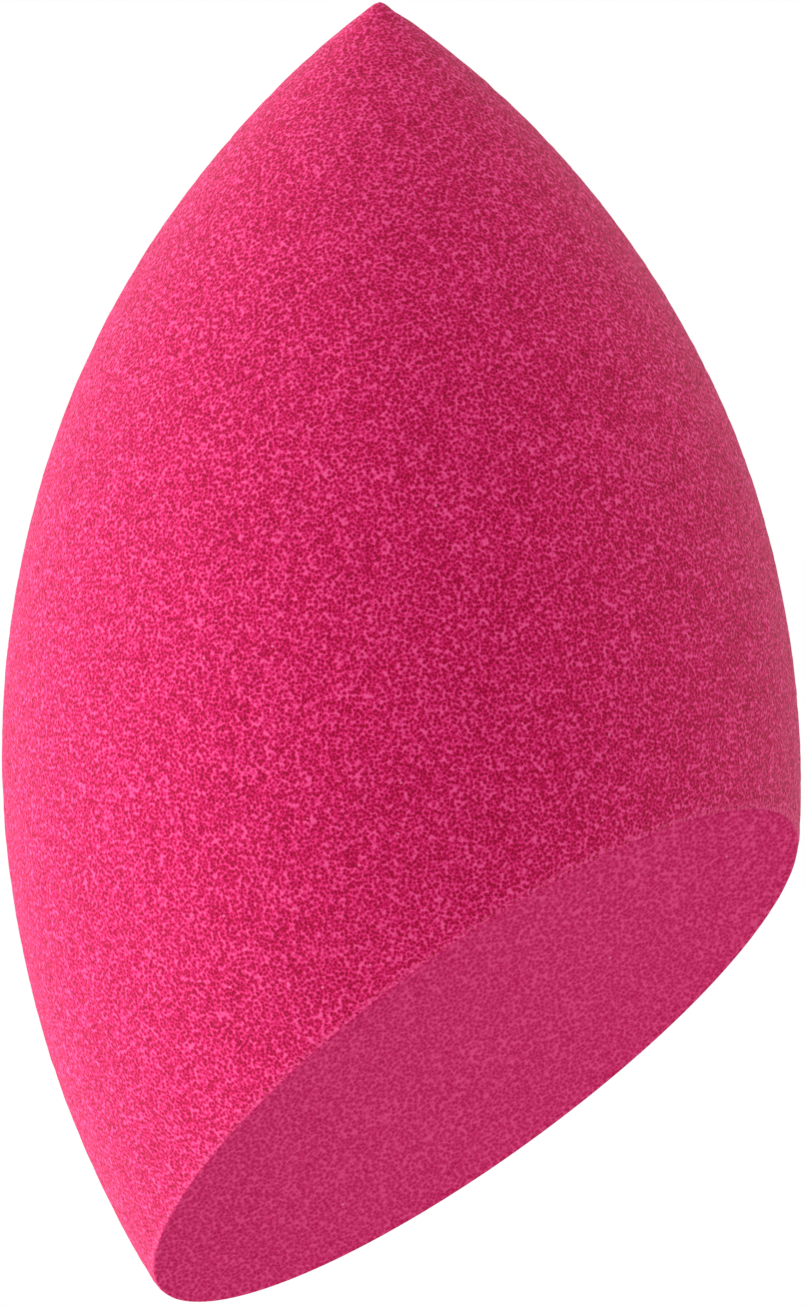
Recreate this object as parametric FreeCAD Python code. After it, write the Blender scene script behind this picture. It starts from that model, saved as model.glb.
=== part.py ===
"""A makeup sponge: one block of open-cell foam, ground to an olive and cut off on the slant.

Millimetres. The sponge stands on its cut face, +Z up. The origin is where the olive's axis meets the
cut face, and the pointed end leans towards +X. The XZ plane is the plane of symmetry.
"""

import FreeCAD, Part
import math
import os

# Driving dimensions of the ground olive
BELLY_DIAMETER = 40.0    # across the widest place
POINT_LENGTH = 38.3      # from the widest place to the pointed end
ROOT_LENGTH = 40.8       # from the widest place to the other end, which the knife takes off
END_RADIUS = 0.45        # round of both ends

# Driving dimensions of the knife cut
CUT_DISTANCE = 56.4      # from the pointed end to the cut, along the axis
CUT_ANGLE = 40.0         # degrees from square to the axis
RIM_RADIUS = 0.3         # softened edge round the cut face

# Sizes that follow
BELLY_RADIUS = BELLY_DIAMETER / 2
BELLY_HEIGHT = CUT_DISTANCE - POINT_LENGTH   # along the axis, from the cut to the widest place
OLIVE_LENGTH = POINT_LENGTH + ROOT_LENGTH

MEASURING_STEP = 0.01    # how closely facets follow the surface when its size is printed
ORIGIN = FreeCAD.Vector(0, 0, 0)
Y_AXIS = FreeCAD.Vector(0, 1, 0)
Z_AXIS = FreeCAD.Vector(0, 0, 1)


def half_outline(length, side):
    """The outline from the belly to one end: a long flank arc, then the small round of the end.

    The flank leaves the belly parallel to the axis and runs smoothly into the round. side is +1 for
    the end above the belly and -1 for the end below it.
    """
    reach = length - END_RADIUS                  # from the belly to the centre of the end's round
    flank_radius = (reach**2 + BELLY_RADIUS**2 - END_RADIUS**2) / (2 * (BELLY_RADIUS - END_RADIUS))
    flank_centre = BELLY_RADIUS - flank_radius   # across the axis, level with the belly

    def flank_point(angle):
        across = flank_centre + flank_radius * math.cos(angle)
        along = BELLY_HEIGHT + side * flank_radius * math.sin(angle)
        return FreeCAD.Vector(across, 0, along)

    def end_point(angle):
        across = END_RADIUS * math.cos(angle)
        along = BELLY_HEIGHT + side * (reach + END_RADIUS * math.sin(angle))
        return FreeCAD.Vector(across, 0, along)

    meeting = math.atan2(reach, -flank_centre)   # where both arcs have the same direction
    pole = math.pi / 2
    flank = Part.Arc(flank_point(0), flank_point(meeting / 2), flank_point(meeting))
    end = Part.Arc(end_point(meeting), end_point((meeting + pole) / 2), end_point(pole))
    return [flank.toShape(), end.toShape()]


def ground_olive():
    """The whole olive before the cut, turned about its upright axis."""
    top = FreeCAD.Vector(0, 0, BELLY_HEIGHT + POINT_LENGTH)
    bottom = FreeCAD.Vector(0, 0, BELLY_HEIGHT - ROOT_LENGTH)
    edges = half_outline(POINT_LENGTH, +1) + half_outline(ROOT_LENGTH, -1)
    edges.append(Part.LineSegment(top, bottom).toShape())
    outline = Part.Wire(Part.__sortEdges__(edges))
    return Part.Face(outline).revolve(ORIGIN, Z_AXIS, 360)


def knife_cut(olive):
    """Leans the olive over until the cut is level, and takes off all that lies below it."""
    olive.rotate(ORIGIN, Y_AXIS, CUT_ANGLE)
    side = 2 * (OLIVE_LENGTH + BELLY_DIAMETER)
    waste = Part.makeBox(side, side, side, FreeCAD.Vector(-side / 2, -side / 2, -side))
    return olive.cut(waste)


def softened_rim(sponge):
    """Rounds the edge between the cut face and the flank."""
    cut_face = min(sponge.Faces, key=lambda face: face.CenterOfMass.z)
    return sponge.makeFillet(RIM_RADIUS, cut_face.Edges)


sponge_body = softened_rim(knife_cut(ground_olive()))
os.makedirs("parts", exist_ok=True)
sponge_body.exportStep("parts/sponge_body.step")

box = FreeCAD.BoundBox()
for point in sponge_body.tessellate(MEASURING_STEP)[0]:
    box.add(point)
print("sponge_body solids", len(sponge_body.Solids), "valid", sponge_body.isValid())
print("size mm", round(box.XLength, 2), round(box.YLength, 2), round(box.ZLength, 2))
print("lowest mm", round(box.ZMin, 4), "volume mm3", round(sponge_body.Volume, 1))
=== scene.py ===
# Makeup sponge: one block of pink foam, ground to an olive and cut off on the slant.
import bpy
import math
import numpy as np
from mathutils import Matrix, Vector, kdtree, noise


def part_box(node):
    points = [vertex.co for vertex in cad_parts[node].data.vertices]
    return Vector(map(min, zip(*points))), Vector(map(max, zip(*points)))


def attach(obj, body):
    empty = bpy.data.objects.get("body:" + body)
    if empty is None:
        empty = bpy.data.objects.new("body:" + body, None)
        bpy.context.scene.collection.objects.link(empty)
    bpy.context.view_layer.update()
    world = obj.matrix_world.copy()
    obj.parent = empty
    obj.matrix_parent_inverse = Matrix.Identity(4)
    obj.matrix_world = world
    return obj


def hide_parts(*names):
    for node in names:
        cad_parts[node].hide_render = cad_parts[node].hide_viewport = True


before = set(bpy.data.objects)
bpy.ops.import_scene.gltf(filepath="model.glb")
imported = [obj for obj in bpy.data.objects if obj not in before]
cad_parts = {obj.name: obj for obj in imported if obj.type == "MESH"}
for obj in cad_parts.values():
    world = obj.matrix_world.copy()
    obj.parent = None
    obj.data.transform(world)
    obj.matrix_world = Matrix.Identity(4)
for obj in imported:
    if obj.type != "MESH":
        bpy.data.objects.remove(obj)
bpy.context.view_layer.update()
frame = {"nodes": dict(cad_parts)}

mm = 0.001
turn = 2 * math.pi
scene = bpy.context.scene
scene.view_settings.view_transform = "Standard"
print("frame loaded, nodes:", ", ".join(frame["nodes"]))


# Directions are given as azimuth and elevation in degrees: azimuth 0 is in front, on the -Y side.
def direction(azimuth, elevation):
    a = math.radians(azimuth)
    e = math.radians(elevation)
    return Vector((math.sin(a) * math.cos(e), -math.cos(a) * math.cos(e), math.sin(e)))


def aimed(place, aim, roll=0.0):
    look = (aim - place).to_track_quat("-Z", "Y").to_matrix().to_4x4()
    return Matrix.Translation(place) @ look @ Matrix.Rotation(math.radians(roll), 4, "Z")


# Camera
photoCamera = {
    "aim": (15.406 * mm, 0.115 * mm, 18.089 * mm),    # what stands in the middle of the picture
    "azimuth": 34.63,
    "elevation": -18.10,     # looks up at the cut face
    "roll": -33.80,          # leans until the tip points up in the picture
    "distance": 601 * mm,
    "nearest": 10 * mm,
    "lens": 330.8,           # a long lens, so there is hardly any perspective
    "sensor": 36.0,
}


def addCamera(c):
    data = bpy.data.cameras.new("photoCamera")
    data.lens = c["lens"]
    data.sensor_width = c["sensor"]
    data.clip_start = c["nearest"]
    camera = bpy.data.objects.new("photoCamera", data)
    scene.collection.objects.link(camera)
    aim = Vector(c["aim"])
    place = aim + c["distance"] * direction(c["azimuth"], c["elevation"])
    camera.matrix_world = aimed(place, aim, c["roll"])
    scene.camera = camera


addCamera(photoCamera)
print("camera set")


# Sponge: rings of points from the tip, down the ground flank, round the rim and in over the cut face
sponge = {
    "pointLength": 38.3 * mm,     # from the widest place to the tip
    "rootLength": 40.8 * mm,      # from the widest place to the end that the knife took off
    "endRound": 0.45 * mm,        # round of the tip
    "rimRound": 0.22 * mm,        # how far from the rim its softened edge begins
    "rimRows": 4,
    "flankStep": 0.28 * mm,       # distance between points on the flank
    "cutStep": 0.37 * mm,         # and on the cut face
    "fewestPoints": 7,            # in the ring next to the tip
    "measuringSteps": 360,        # how finely a ring is measured round
    "wheelWave": 0.05 * mm,       # unevenness that the grinding wheel leaves
    "wheelWaveSize": 9 * mm,
    "tornGrain": 0.022 * mm,      # torn cell walls all over the flank
    "tornGrainSize": 0.62 * mm,
    "flankPores": 5200,           # larger open cells on the flank
    "flankPoreWidth": (0.30 * mm, 0.62 * mm),
    "flankPoreDepth": (0.02 * mm, 0.07 * mm),
    "cutPores": 200,              # few cells are open on the cut face
    "cutPoreWidth": (0.30 * mm, 0.50 * mm),
    "cutPoreDepth": (0.02 * mm, 0.09 * mm),
    "cutGrain": 0.006 * mm,
    "cutDish": 0.12 * mm,         # hollow in the middle of the cut face
    "rimRagged": 0.03 * mm,
    "rimRaggedSize": 0.8 * mm,
    "rimPale": 0.15 * mm,         # half the width of the pale line just above the rim, a painted highlight
    "seed": 11,
}


def readOlive(s):
    # the widest place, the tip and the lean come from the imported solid
    low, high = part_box("sponge_body")
    points = [v.co for v in frame["nodes"]["sponge_body"].data.vertices]
    tip = max(points, key=lambda p: p.length)
    belly = (high.y - low.y) / 2
    o = {"belly": belly, "tip": tip.length, "lean": math.atan2(tip.x, tip.z)}
    o["bellyHeight"] = o["tip"] - s["pointLength"]
    for end, length in (("point", s["pointLength"]), ("root", s["rootLength"])):
        reach = length - s["endRound"]
        o[end + "Bow"] = (reach**2 + belly**2 - s["endRound"]**2) / (2 * (belly - s["endRound"]))
        o[end + "Meeting"] = math.atan2(reach, o[end + "Bow"] - belly)
    o["roundRun"] = s["endRound"] * (math.pi / 2 - o["pointMeeting"])
    o["pointRun"] = o["roundRun"] + o["pointBow"] * o["pointMeeting"]
    o["wholeRun"] = o["pointRun"] + o["rootBow"] * o["rootMeeting"]
    return o


def meridian(s, o, run):
    # radius about the axis and height along it, at a distance over the surface from the tip
    cap = run / s["endRound"]
    upper = o["pointMeeting"] - (run - o["roundRun"]) / o["pointBow"]
    lower = (run - o["pointRun"]) / o["rootBow"]
    zones = [run < o["roundRun"], run < o["pointRun"]]
    radius = np.select(zones, [
        s["endRound"] * np.sin(cap),
        o["belly"] - o["pointBow"] * (1 - np.cos(upper)),
    ], o["belly"] - o["rootBow"] * (1 - np.cos(lower)))
    along = np.select(zones, [
        o["tip"] - s["endRound"] * (1 - np.cos(cap)),
        o["bellyHeight"] + o["pointBow"] * np.sin(upper),
    ], o["bellyHeight"] - o["rootBow"] * np.sin(lower))
    return radius, along


def flankPoints(s, o, phi, run):
    radius, along = meridian(s, o, run)
    out = radius * np.cos(phi)
    x = along * math.sin(o["lean"]) + out * math.cos(o["lean"])
    z = along * math.cos(o["lean"]) - out * math.sin(o["lean"])
    return np.stack([x, radius * np.sin(phi), z], axis=-1)


def rimRuns(s, o, phi):
    # halves the search until the flank meets the cut, at z = 0
    near = np.zeros_like(phi)
    far = np.full_like(phi, o["wholeRun"])
    for _ in range(40):
        middle = (near + far) / 2
        above = flankPoints(s, o, phi, middle)[:, 2] > 0
        near = np.where(above, middle, near)
        far = np.where(above, far, middle)
    return near


def ringAngles(s, outline, step, index):
    # every second ring is turned by half a step, so that its triangles are even
    length = np.linalg.norm(np.diff(outline, axis=0), axis=1).sum()
    count = max(s["fewestPoints"], round(length / step))
    return (np.arange(count) + 0.5 * (index % 2)) * turn / count


def buildRings(s, o):
    around = np.linspace(0, turn, s["measuringSteps"] + 1)
    table = np.linspace(0, turn, 4 * s["measuringSteps"] + 1)
    rimTable = rimRuns(s, o, table)
    edge = s["rimRound"]
    rings = []

    def rimAt(phi):
        return np.interp(phi % turn, table, rimTable)

    # points of a ring and their distances over the surface from the tip
    def flank(phi, share):
        runs = (rimAt(phi) - edge) * share
        return flankPoints(s, o, phi, runs), runs

    def rim(phi, share):
        above = flankPoints(s, o, phi, rimAt(phi) - edge)
        corner = flankPoints(s, o, phi, rimAt(phi))
        inside = corner * (1 - edge / np.linalg.norm(corner, axis=1))[:, None]
        points = (1 - share)**2 * above + 2 * share * (1 - share) * corner + share**2 * inside
        return points, rimAt(phi) + edge * (2 * share - 1)

    def cut(phi, share):
        points, runs = rim(phi, 1.0)
        return points * (1 - share), runs + share * o["belly"]

    flankRows = round(rimTable.mean() / s["flankStep"])
    cutRows = round(o["belly"] / s["cutStep"])
    rows = [(flank, row / flankRows, s["flankStep"], False) for row in range(1, flankRows + 1)]
    rows += [(rim, row / s["rimRows"], s["flankStep"], 2 * row > s["rimRows"])
             for row in range(1, s["rimRows"] + 1)]
    rows += [(cut, row / cutRows, s["cutStep"], True) for row in range(1, cutRows)]
    for zone, share, step, onCut in rows:
        phi = ringAngles(s, zone(around, share)[0], step, len(rings))
        points, runs = zone(phi, share)
        rings.append({"phi": phi, "points": points, "runs": runs, "onCut": onCut})
    return rings


def zipRings(phiA, firstA, phiB, firstB):
    # a strip of triangles between two rings, which may have different counts
    n, m = len(phiA), len(phiB)
    events = np.concatenate([phiA + math.pi / n, phiB + math.pi / m])
    order = np.argsort(events, kind="stable")
    onA = order < n
    i = np.cumsum(onA) - onA
    j = np.cumsum(~onA) - ~onA
    a, nextA = firstA + i % n, firstA + (i + 1) % n
    b, nextB = firstB + j % m, firstB + (j + 1) % m
    return np.stack([a, b, np.where(onA, nextA, nextB)], axis=1)


def joinRings(s, o, rings):
    tip = flankPoints(s, o, np.zeros(1), np.zeros(1))
    middle = np.zeros((1, 3))
    points = np.concatenate([tip] + [r["points"] for r in rings] + [middle])
    phi = np.concatenate([[0.0]] + [r["phi"] for r in rings] + [[0.0]])
    runs = np.concatenate([[0.0]] + [r["runs"] for r in rings] + [[0.0]])
    starts = np.cumsum([1] + [len(r["phi"]) for r in rings])
    outer = np.arange(starts[0], starts[1])
    strips = [np.stack([np.zeros_like(outer), outer, np.roll(outer, -1)], axis=1)]
    onCut = [np.zeros(len(outer), bool)]
    for k in range(len(rings) - 1):
        strip = zipRings(rings[k]["phi"], starts[k], rings[k + 1]["phi"], starts[k + 1])
        strips.append(strip)
        onCut.append(np.full(len(strip), rings[k + 1]["onCut"]))
    inner = np.arange(starts[-2], starts[-1])
    strips.append(np.stack([inner, np.full_like(inner, starts[-1]), np.roll(inner, -1)], axis=1))
    onCut.append(np.ones(len(inner), bool))
    return points, phi, runs, np.concatenate(strips), np.concatenate(onCut)


def smoothNoise(points, size, offset):
    shift = Vector((offset, 2 * offset, -offset))
    return np.array([noise.noise(Vector(p) / size + shift) for p in points])


def openPores(tree, points, allowed, count, width, depth, draw):
    # bowls of random size, each about a randomly drawn point of the surface
    sunk = np.zeros(len(points))
    for centre in draw.choice(allowed, count, replace=False):
        radius = draw.uniform(*width)
        deep = draw.uniform(*depth)
        for _, index, away in tree.find_range(Vector(points[centre]), radius):
            bowl = deep * (1 - (away / radius)**2)**2
            sunk[index] = max(sunk[index], bowl)
    return sunk


def carveFoam(s, o, points, normals, fromRim):
    # moves each point along its normal, and tells how open the foam is there and how strongly the painted
    # highlight line along the rim shows
    draw = np.random.default_rng(s["seed"])
    tree = kdtree.KDTree(len(points))
    for index, p in enumerate(points):
        tree.insert(Vector(p), index)
    tree.balance()
    flank = np.clip(-fromRim / s["rimRound"] - 0.5, 0, 1)     # 0 at the rim, 1 on the flank
    face = np.clip(fromRim / s["rimRound"] - 0.5, 0, 1)       # 0 at the rim, 1 on the cut face
    # band just above the rim: it makes the rim ragged and carries the painted highlight line
    edge = np.exp(-(fromRim / s["rimPale"] + 1)**2)
    onFlank = np.flatnonzero(flank == 1)
    onFace = np.flatnonzero(face == 1)
    pores = np.zeros(len(points))
    for zone, allowed in (("flank", onFlank), ("cut", onFace)):
        count, width, depth = (s[zone + name] for name in ("Pores", "PoreWidth", "PoreDepth"))
        pores += openPores(tree, points, allowed, count, width, depth, draw)
    wave = s["wheelWave"] * smoothNoise(points, s["wheelWaveSize"], 3.7) * flank
    torn = s["tornGrain"] * smoothNoise(points, s["tornGrainSize"], 8.1) * flank
    grain = s["cutGrain"] * smoothNoise(points, s["tornGrainSize"], 2.9) * face
    ragged = s["rimRagged"] * (1 + smoothNoise(points, s["rimRaggedSize"], 5.3)) * edge
    across = np.linalg.norm(points[:, :2], axis=1) / o["belly"]
    dish = s["cutDish"] * np.clip(1 - across**2, 0, 1) * face
    move = wave + torn + grain - pores * np.maximum(flank, face) - ragged - dish
    return points + normals * move[:, None], pores / s["cutPoreDepth"][1], edge


# Unrolled sponge: the flank in four gores side by side, the cut face below the shortest of them
sheet = {"gores": 4, "gap": 1.5 * mm}


def unrollFoam(f, points, phi, runs, radius, corners, onCut):
    wedge = turn / f["gores"]
    column = wedge * radius.max() + f["gap"]
    side = f["gores"] * column
    base = phi[corners[:, :1]]
    turned = base + (phi[corners] - base + math.pi) % turn - math.pi
    gore = np.floor((turned.mean(axis=1) / wedge + 0.5) % f["gores"])[:, None]
    fromMiddle = (turned - gore * wedge + math.pi) % turn - math.pi
    u = (gore + 0.5) * column + radius[corners] * fromMiddle
    v = side - f["gap"] - runs[corners]
    flat = points[corners]
    cutU = 0.5 * column + flat[..., 1] - flat[..., 1].min() + f["gap"]
    cutV = flat[..., 0] - points[:, 0].min() + f["gap"]
    cut = onCut[:, None]
    return np.stack([np.where(cut, cutU, u), np.where(cut, cutV, v)], axis=-1) / side


def makeSponge(s):
    o = readOlive(s)
    points, phi, runs, corners, onCut = joinRings(s, o, buildRings(s, o))
    mesh = bpy.data.meshes.new("foamSponge")
    mesh.from_pydata(points.tolist(), [], corners.tolist())
    mesh.validate()
    normals = np.empty(len(points) * 3)
    mesh.vertices.foreach_get("normal", normals)
    normals = normals.reshape(-1, 3)
    if (normals * points).sum() < 0:      # they have to point outwards
        mesh.flip_normals()
        normals = -normals
    rimOf = rimRuns(s, o, phi)
    moved, openness, paintedRimLine = carveFoam(s, o, points, normals, runs - rimOf)
    mesh.vertices.foreach_set("co", moved.ravel())
    for name, values in (("poreDepth", openness), ("rimHighlight", paintedRimLine)):
        layer = mesh.attributes.new(name, "FLOAT", "POINT")
        layer.data.foreach_set("value", values.astype(np.float32))
    corners = np.empty(len(mesh.loops), np.int32)
    mesh.loops.foreach_get("vertex_index", corners)
    corners = corners.reshape(-1, 3)
    radius = meridian(s, o, np.minimum(runs, rimOf))[0]
    layout = mesh.uv_layers.new(name="OFBake")
    places = unrollFoam(sheet, points, phi, runs, radius, corners, onCut)
    layout.uv.foreach_set("vector", places.ravel())
    mesh.polygons.foreach_set("material_index", onCut.astype(np.int32))
    mesh.polygons.foreach_set("use_smooth", np.ones(len(corners), bool))
    mesh.update()
    piece = bpy.data.objects.new("foamSponge", mesh)
    scene.collection.objects.link(piece)
    print("sponge made:", len(points), "points,", len(corners), "faces")
    return piece


piece = makeSponge(sponge)


# Helpers for materials
def addNode(tree, kind, settings=None, sockets=None):
    node = tree.nodes.new(kind)
    for name, value in (settings or {}).items():
        setattr(node, name, value)
    for name, value in (sockets or {}).items():
        node.inputs[name].default_value = value
    return node


def calc(tree, operation, first, second):
    node = addNode(tree, "ShaderNodeMath", {"operation": operation})
    for socket, value in zip(node.inputs, (first, second)):
        if isinstance(value, (int, float)):
            socket.default_value = value
        else:
            tree.links.new(value, socket)
    return node.outputs[0]


def attribute(tree, name):
    return addNode(tree, "ShaderNodeAttribute", {"attribute_name": name}).outputs["Fac"]


def noiseAt(tree, place, size, detail):
    node = addNode(tree, "ShaderNodeTexNoise", None, {"Scale": 1 / size, "Detail": detail})
    tree.links.new(place, node.inputs["Vector"])
    return node


def cellsAt(tree, place, size, feature, softness=0.0):
    node = addNode(tree, "ShaderNodeTexVoronoi", {"feature": feature}, {"Scale": 1 / size})
    if feature == "SMOOTH_F1":
        node.inputs["Smoothness"].default_value = softness
    tree.links.new(place, node.inputs["Vector"])
    return node.outputs["Distance"]


def ramp(tree, value, stops):
    node = addNode(tree, "ShaderNodeValToRGB")
    while len(node.color_ramp.elements) < len(stops):
        node.color_ramp.elements.new(1.0)
    for element, (place, colour) in zip(node.color_ramp.elements, stops):
        element.position = place
        element.color = (*colour, 1)
    tree.links.new(value, node.inputs["Fac"])
    return node.outputs["Color"]


def ranged(tree, value, before, after, shape="LINEAR"):
    node = addNode(tree, "ShaderNodeMapRange", {"interpolation_type": shape}, {
        "From Min": before[0], "From Max": before[1], "To Min": after[0], "To Max": after[1]})
    tree.links.new(value, node.inputs["Value"])
    return node.outputs["Result"]


def mixed(tree, blend, amount, first, second):
    node = addNode(tree, "ShaderNodeMix", {"data_type": "RGBA", "blend_type": blend})
    for socket, value in zip((node.inputs[0], node.inputs[6], node.inputs[7]), (amount, first, second)):
        if isinstance(value, float):
            socket.default_value = value
        elif isinstance(value, tuple):
            socket.default_value = (*value, 1)
        else:
            tree.links.new(value, socket)
    return node.outputs[2]


# Ground foam: torn open all over the flank
groundFoam = {
    "cellSize": 0.17 * mm,
    "cellSoftness": 0.25,
    "cellWarp": 0.06 * mm,    # how far the cells are bent out of shape
    "cellShare": 0.7,         # of the height, and the walls have the rest
    "wallSize": 0.15 * mm,
    "drag": 1.0,              # no direction
    "dragAngle": 0.0,
    "colours": [
        (0.26, (0.35, 0.000, 0.028)),     # deep in an open cell, darkened as painted shade of the pit
        (0.40, (0.53, 0.001, 0.069)),
        (0.51, (0.69, 0.007, 0.120)),
        (0.62, (0.85, 0.035, 0.201)),
        (0.75, (0.95, 0.096, 0.310)),     # top of a torn wall
    ],
    "patchSize": 3.2 * mm,
    "patchDark": (0.95, 0.92, 0.94),
    "patchRange": (0.30, 0.65),
    "fleckSize": 1.7 * mm,
    "fleckWidth": 0.045,
    "fleckColour": (0.95, 0.20, 0.42),
    "fleckStrength": 0.6,
    # how far the carved pores sink the height; through the ramp they are painted darker as shade
    "poreSinkAndPaintedShade": 0.08,
    # pale line along the rim: a painted highlight on the knife edge
    "rimHighlightColour": (0.97, 0.105, 0.31),
    "rimBreaks": (0.38, 0.62),            # the painted highlight line is broken where the walls are low
    "rimStrength": 0.6,
    "bump": 0.05 * mm,
    "bumpStrength": 0.7,
    "heightRange": (0.25, 0.75),
    "roughness": (0.85, 0.70),            # low and high places
    "specular": 0.03,
    "sheen": 0.12,
    "sheenRoughness": 0.6,
    "sheenTint": (1.0, 0.95, 1.0),
}

# Cut foam: sliced smooth by the knife, with few open cells
cutFoam = {
    "cellSize": 0.19 * mm,
    "cellSoftness": 0.25,
    "cellWarp": 0.04 * mm,
    "cellShare": 0.7,
    "wallSize": 0.12 * mm,
    "drag": 2.8,              # how far the knife drew the cells out
    "dragAngle": -55.0,       # and which way, in degrees from +X
    # colours by height as on the flank: the dark low end is painted shade in the cells, over the foam's own
    # grain
    "colours": [
        (0.28, (0.50, 0.001, 0.080)),
        (0.44, (0.60, 0.010, 0.121)),
        (0.56, (0.67, 0.020, 0.150)),
        (0.72, (0.77, 0.052, 0.208)),
    ],
    "patchSize": 4.0 * mm,
    "patchDark": (0.98, 0.96, 0.97),
    "patchRange": (0.30, 0.65),
    "fleckSize": 2.2 * mm,
    "fleckWidth": 0.035,
    "fleckColour": (0.88, 0.18, 0.38),
    "fleckStrength": 0.6,
    # how far the carved pores sink the height; through the ramp they are painted darker as shade
    "poreSinkAndPaintedShade": 0.15,
    # pale line along the rim: a painted highlight on the knife edge
    "rimHighlightColour": (0.90, 0.080, 0.26),
    "rimBreaks": (0.38, 0.62),
    "rimStrength": 0.6,
    "bump": 0.03 * mm,
    "bumpStrength": 0.5,
    "heightRange": (0.25, 0.75),
    "roughness": (0.80, 0.65),
    "specular": 0.03,
    "sheen": 0.016,
    "sheenRoughness": 0.6,
    "sheenTint": (1.0, 0.9, 1.0),
}


def foamHeight(tree, f, place, walls):
    # cells with low middles, the torn walls between them, and the carved pores; it shapes the bump and the
    # roughness, and the colour ramp paints shade into its low places
    cells = cellsAt(tree, place, f["cellSize"], "SMOOTH_F1", f["cellSoftness"])
    grain = calc(tree, "ADD", calc(tree, "MULTIPLY", cells, f["cellShare"]),
                 calc(tree, "MULTIPLY", walls, 1 - f["cellShare"]))
    # the carved pores sink the height, and the ramp paints them darker as shade
    pores = calc(tree, "MULTIPLY", attribute(tree, "poreDepth"), f["poreSinkAndPaintedShade"])
    return calc(tree, "SUBTRACT", grain, pores)


def foamColour(tree, f, place, height, walls):
    # the ramp by height, then broad patches, pale flecks and the pale line along the rim, which is a
    # painted highlight
    # low places get darker, deeper red: painted shade in the cells, over the foam's own grain
    colour = ramp(tree, height, f["colours"])
    patches = noiseAt(tree, place, f["patchSize"], 3.0).outputs["Fac"]
    low, high = f["patchRange"]
    shade = ramp(tree, patches, [(low, f["patchDark"]), (high, (1, 1, 1))])
    colour = mixed(tree, "MULTIPLY", 1.0, colour, shade)
    fleck = calc(tree, "LESS_THAN", cellsAt(tree, place, f["fleckSize"], "F1"), f["fleckWidth"])
    colour = mixed(tree, "MIX", calc(tree, "MULTIPLY", fleck, f["fleckStrength"]), colour, f["fleckColour"])
    # painted highlight along the rim, broken where the walls are low
    whole = ranged(tree, walls, f["rimBreaks"], (0.0, f["rimStrength"]))
    paintedRimShare = calc(tree, "MULTIPLY", attribute(tree, "rimHighlight"), whole)
    return mixed(tree, "MIX", paintedRimShare, colour, f["rimHighlightColour"])


def makeFoam(name, f):
    material = bpy.data.materials.new(name)
    material.use_nodes = True
    tree = material.node_tree
    shader = tree.nodes["Principled BSDF"]
    dragged = addNode(tree, "ShaderNodeMapping", {"vector_type": "TEXTURE"}, {
        "Rotation": (0, 0, math.radians(f["dragAngle"])), "Scale": (f["drag"], 1, 1)})
    tree.links.new(addNode(tree, "ShaderNodeTexCoord").outputs["Object"], dragged.inputs["Vector"])
    place = dragged.outputs["Vector"]
    bent = addNode(tree, "ShaderNodeVectorMath", {"operation": "MULTIPLY_ADD"})
    tree.links.new(noiseAt(tree, place, 2 * f["cellSize"], 1.0).outputs["Color"], bent.inputs[0])
    bent.inputs[1].default_value = (2 * f["cellWarp"],) * 3
    tree.links.new(place, bent.inputs[2])
    walls = noiseAt(tree, bent.outputs[0], f["wallSize"], 0.5).outputs["Fac"]
    height = foamHeight(tree, f, bent.outputs[0], walls)
    tree.links.new(foamColour(tree, f, place, height, walls), shader.inputs["Base Color"])
    tree.links.new(ranged(tree, height, f["heightRange"], f["roughness"]), shader.inputs["Roughness"])
    bump = addNode(tree, "ShaderNodeBump", None, {"Strength": f["bumpStrength"], "Distance": f["bump"]})
    tree.links.new(height, bump.inputs["Height"])
    tree.links.new(bump.outputs["Normal"], shader.inputs["Normal"])
    shader.inputs["Specular IOR Level"].default_value = f["specular"]
    shader.inputs["Sheen Weight"].default_value = f["sheen"]
    shader.inputs["Sheen Roughness"].default_value = f["sheenRoughness"]
    shader.inputs["Sheen Tint"].default_value = (*f["sheenTint"], 1)
    return material


piece.data.materials.append(makeFoam("groundFoam", groundFoam))
piece.data.materials.append(makeFoam("cutFoam", cutFoam))
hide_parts("sponge_body")
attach(piece, "root")
print("foam dressed")


# Floor: pale and seen from above only, so that the camera under it looks up at the cut face
floor = {
    "radius": 900 * mm,
    "corners": 96,
    "colour": (0.92, 0.92, 0.92),
    "fade": (144 * mm, 378 * mm),     # distances from the middle over which the floor fades out
}


def makeFloorPaint(f):
    material = bpy.data.materials.new("paleFloor")
    material.use_nodes = True
    tree = material.node_tree
    tree.nodes.remove(tree.nodes["Principled BSDF"])
    seen = addNode(tree, "ShaderNodeLightPath").outputs["Is Camera Ray"]
    under = addNode(tree, "ShaderNodeNewGeometry").outputs["Backfacing"]
    fromMiddle = addNode(tree, "ShaderNodeVectorMath", {"operation": "LENGTH"})
    tree.links.new(addNode(tree, "ShaderNodeTexCoord").outputs["Object"], fromMiddle.inputs[0])
    fade = ranged(tree, fromMiddle.outputs["Value"], f["fade"], (1.0, 0.0), "SMOOTHSTEP")
    above = calc(tree, "SUBTRACT", 1.0, under)
    shown = calc(tree, "MULTIPLY", calc(tree, "MULTIPLY", seen, above), fade)
    clear = addNode(tree, "ShaderNodeBsdfTransparent")
    pale = addNode(tree, "ShaderNodeBsdfDiffuse", None, {"Color": (*f["colour"], 1)})
    mix = addNode(tree, "ShaderNodeMixShader")
    tree.links.new(shown, mix.inputs[0])
    tree.links.new(clear.outputs[0], mix.inputs[1])
    tree.links.new(pale.outputs[0], mix.inputs[2])
    tree.links.new(mix.outputs[0], tree.nodes["Material Output"].inputs["Surface"])
    return material


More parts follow.
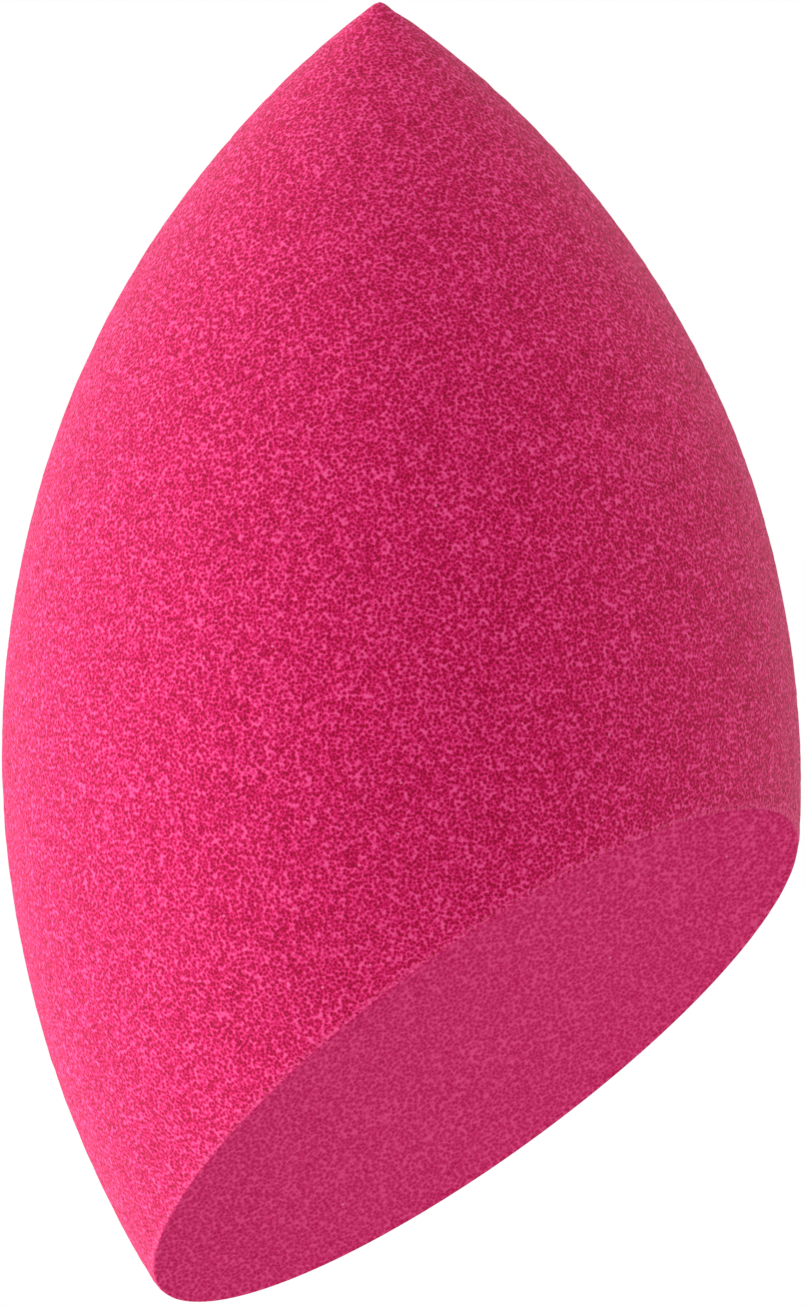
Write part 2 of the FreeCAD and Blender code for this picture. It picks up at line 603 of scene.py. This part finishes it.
def addFloor(f):
    angles = [k * turn / f["corners"] for k in range(f["corners"])]
    mesh = bpy.data.meshes.new("floor")
    mesh.from_pydata([(f["radius"] * math.cos(a), f["radius"] * math.sin(a), 0.0) for a in angles], [],
                     [list(range(f["corners"]))])
    mesh.materials.append(makeFloorPaint(f))
    ground = bpy.data.objects.new("floor", mesh)
    scene.collection.objects.link(ground)


addFloor(floor)


# Studio: a white surround, soft light from all sides and a few large soft lamps
studio = {
    "ambient": 0.74,
    "background": 1.0,
    "aim": (12 * mm, 0.0, 20 * mm),
    "distance": 600 * mm,
    "lampWidth": 450 * mm,
    "lamps": [     # name, azimuth, elevation, watts
        ("highLamp", -30, 55, 1.8),
        ("sideLamp", -45, 20, 1.4),
        ("lowLamp", -60, -15, 1.3),
    ],
}


def lightStudio(s):
    world = bpy.data.worlds.new("studio")
    scene.world = world
    world.use_nodes = True
    tree = world.node_tree
    soft = tree.nodes["Background"]
    soft.inputs["Color"].default_value = (1, 1, 1, 1)
    soft.inputs["Strength"].default_value = s["ambient"]
    white = addNode(tree, "ShaderNodeBackground", None, {"Strength": s["background"]})
    white.inputs["Color"].default_value = (1, 1, 1, 1)
    path = addNode(tree, "ShaderNodeLightPath").outputs
    mirrored = calc(tree, "MAXIMUM", path["Is Glossy Ray"], path["Is Transmission Ray"])
    mix = addNode(tree, "ShaderNodeMixShader")
    tree.links.new(calc(tree, "MAXIMUM", path["Is Camera Ray"], mirrored), mix.inputs[0])
    tree.links.new(soft.outputs[0], mix.inputs[1])
    tree.links.new(white.outputs[0], mix.inputs[2])
    tree.links.new(mix.outputs[0], tree.nodes["World Output"].inputs["Surface"])
    aim = Vector(s["aim"])
    for name, azimuth, elevation, watts in s["lamps"]:
        data = bpy.data.lights.new(name, "AREA")
        data.shape = "DISK"
        data.size = s["lampWidth"]
        data.energy = watts
        lamp = bpy.data.objects.new(name, data)
        scene.collection.objects.link(lamp)
        lamp.matrix_world = aimed(aim + s["distance"] * direction(azimuth, elevation), aim)


lightStudio(studio)
print("floor and studio set")

bpy.context.view_layer.update()
